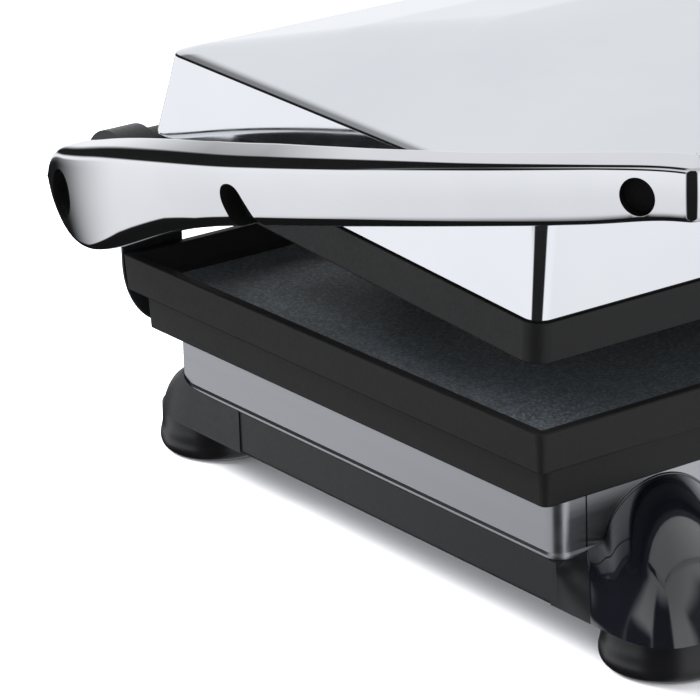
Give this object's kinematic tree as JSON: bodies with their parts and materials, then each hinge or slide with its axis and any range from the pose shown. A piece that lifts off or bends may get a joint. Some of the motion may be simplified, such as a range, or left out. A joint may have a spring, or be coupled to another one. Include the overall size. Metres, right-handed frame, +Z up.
{
  "type": "contact grill",
  "caption": "Flat-plate contact grill: shallow tray on a steel-banded base, floating chrome lid on two bowed polished arms with a front grip.",
  "frame": {"origin": "on the table, under the centre of the grill's footprint with the lid as posed", "axes": "+Z up, +Y to the rear (hinge side), +X to the right seen from the front"},
  "size_m": [0.4058, 0.3844, 0.2149],
  "materials": {
    "chrome": "polished mirror",
    "cast_chrome": "light-metal casting, polished and chromed",
    "band_steel": "fine brushed",
    "nonstick": "non-stick coating, satin with a fine speckle",
    "satin_black": "satin heat-resistant moulding",
    "black_plastic": "satin",
    "gloss_black": "high gloss",
    "rubber": "matt",
    "steel": "turned steel",
    "heater": "oxidised tube",
    "reflector": "mill finish",
    "washer": "plain",
    "lens": "clear tinted",
    "lamp": "neon lamp"
  },
  "bodies": {
    "root": {"base_shell": "black_plastic", "bottom_cover": "black_plastic", "cover_screws": "steel", "dial_bezel": "steel", "friction_washer_left": "washer", "friction_washer_right": "washer", "front_foot_left": "rubber", "front_foot_right": "rubber", "front_leg_left": "gloss_black", "front_leg_right": "gloss_black", "hinge_post_left": "black_plastic", "hinge_post_right": "black_plastic", "indicator_lamps": "lamp", "indicator_lenses": "lens", "inlet_gland": "rubber", "leg_screws": "steel", "lower_bezel": "satin_black", "lower_element": "heater", "lower_plate": "nonstick", "lower_reflector": "reflector", "opening_stop": "black_plastic", "post_screws": "steel", "rear_bridge": "black_plastic", "rear_foot_left": "rubber", "rear_foot_right": "rubber", "rear_leg_left": "black_plastic", "rear_leg_right": "black_plastic", "spacer_ring_left": "steel", "spacer_ring_right": "steel", "steel_band": "band_steel", "terminal_block": "black_plastic", "thermostat": "black_plastic"},
    "carrier": {"hinge_shaft": "steel", "hinge_barrel": "steel"},
    "handle": {"arm_plug_left": "black_plastic", "arm_plug_right": "black_plastic", "grip_bar": "cast_chrome", "handle_arm_left": "cast_chrome", "handle_arm_right": "cast_chrome", "pivot_bush_left": "black_plastic", "pivot_bush_right": "black_plastic", "recess_ring_left": "black_plastic", "recess_ring_right": "black_plastic"},
    "lid": {"lead_grommet": "rubber", "lid_frame": "satin_black", "lid_shell": "chrome", "pivot_bracket_left": "black_plastic", "pivot_bracket_right": "black_plastic", "pivot_pin_left": "steel", "pivot_pin_right": "steel", "plate_screws": "steel", "thermal_fuse": "reflector", "upper_element": "heater", "upper_plate": "nonstick", "upper_reflector": "reflector"},
    "dial": {"dial_knob": "gloss_black", "dial_spindle": "steel"}
  },
  "joints": [
    {"name": "lid_open", "type": "hinge", "parent": "root", "child": "carrier", "pos_m": [0, 0.17125, 0.126], "axis": [-1, 0, 0], "range_deg": [0, 95]},
    {"name": "handle_press", "type": "hinge", "parent": "carrier", "child": "handle", "pos_m": [0, 0.17125, 0.126], "axis": [1, 0, 0], "range_deg": [0, 15.3]},
    {"name": "lid_tilt", "type": "hinge", "parent": "handle", "child": "lid", "pos_m": [0, 0.02675, 0.1605], "axis": [-1, 0, 0], "range_deg": [0, 19.67]},
    {"name": "dial_turn", "type": "hinge", "parent": "root", "child": "dial", "pos_m": [0, -0.11525, 0.047], "axis": [0, -1, 0], "range_deg": [-270, 0]}
  ],
  "couplings": [
    {"joint": "lid_tilt", "follows": "handle_press", "ratio": 1.2529}
  ]
}
